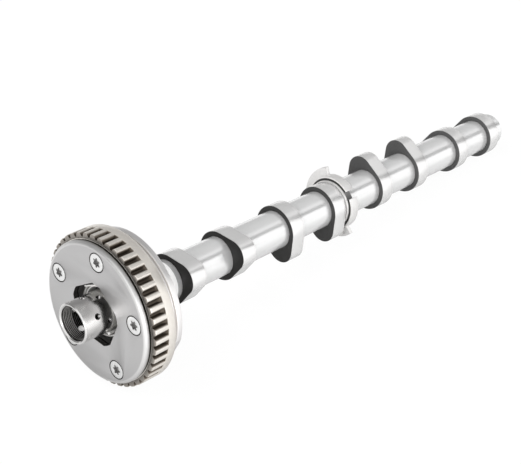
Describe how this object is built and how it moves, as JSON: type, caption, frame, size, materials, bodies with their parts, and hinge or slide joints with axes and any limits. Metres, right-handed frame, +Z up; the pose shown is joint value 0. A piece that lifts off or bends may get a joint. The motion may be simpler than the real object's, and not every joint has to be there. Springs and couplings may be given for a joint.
{
  "type": "camshaft with cam phaser",
  "caption": "Assembled engine camshaft: a steel tube with pressed-on cam lobes, a position sensor ring and a toothed vane phaser at the front.",
  "frame": {"origin": "middle of the bounding box in plan, on the surface the camshaft lies on", "axes": "+Z up, +Y along the camshaft towards its rear end, dipping 4.8 degrees as it lies on the sprocket and the last lobe; +X to the right as seen from the front"},
  "size_m": [0.0884, 0.392, 0.0892],
  "materials": {
    "tube_steel": "drawn and ground bright steel",
    "nose_steel": "fine turned steel",
    "lobe_steel": "dark sintered faces with a bright ground rim",
    "sensor_steel": "sintered steel, plain grey",
    "cover_steel": "satin, finely turned",
    "sprocket_steel": "warm sintered and steam treated steel",
    "screw_steel": "zinc plated",
    "spring_steel": "tempered spring steel",
    "rotor_steel": "machined steel",
    "seal_plastic": "dark filled plastic"
  },
  "bodies": {
    "camshaft": {"shaft_tube": "tube_steel", "rear_plug": "nose_steel", "nose_piece": "nose_steel", "lobe_1": "lobe_steel", "lobe_2": "lobe_steel", "lobe_3": "lobe_steel", "lobe_4": "lobe_steel", "lobe_5": "lobe_steel", "lobe_6": "lobe_steel", "lobe_7": "lobe_steel", "lobe_8": "lobe_steel", "sensor_ring": "sensor_steel", "rotor": "rotor_steel", "vane_seals": "seal_plastic", "vane_seal_springs": "spring_steel", "lock_pin": "screw_steel", "lock_cap": "nose_steel", "lock_spring": "spring_steel"},
    "phaser_housing": {"sprocket_ring": "sprocket_steel", "front_cover": "cover_steel", "rear_cover": "cover_steel", "cover_screws": "screw_steel", "web_seals": "seal_plastic", "web_seal_springs": "spring_steel", "lock_seat": "screw_steel", "return_spring": "spring_steel"}
  },
  "joints": [
    {"name": "phaser_turn", "type": "hinge", "parent": "camshaft", "child": "phaser_housing", "pos_m": [0, -0.17669, 0.04521], "axis": [0, -0.9966, 0.0829], "range_deg": [0, 25], "stiffness_Nm_per_rad": 0.5, "springref_deg": -68.75, "deforming": ["return_spring"]}
  ]
}
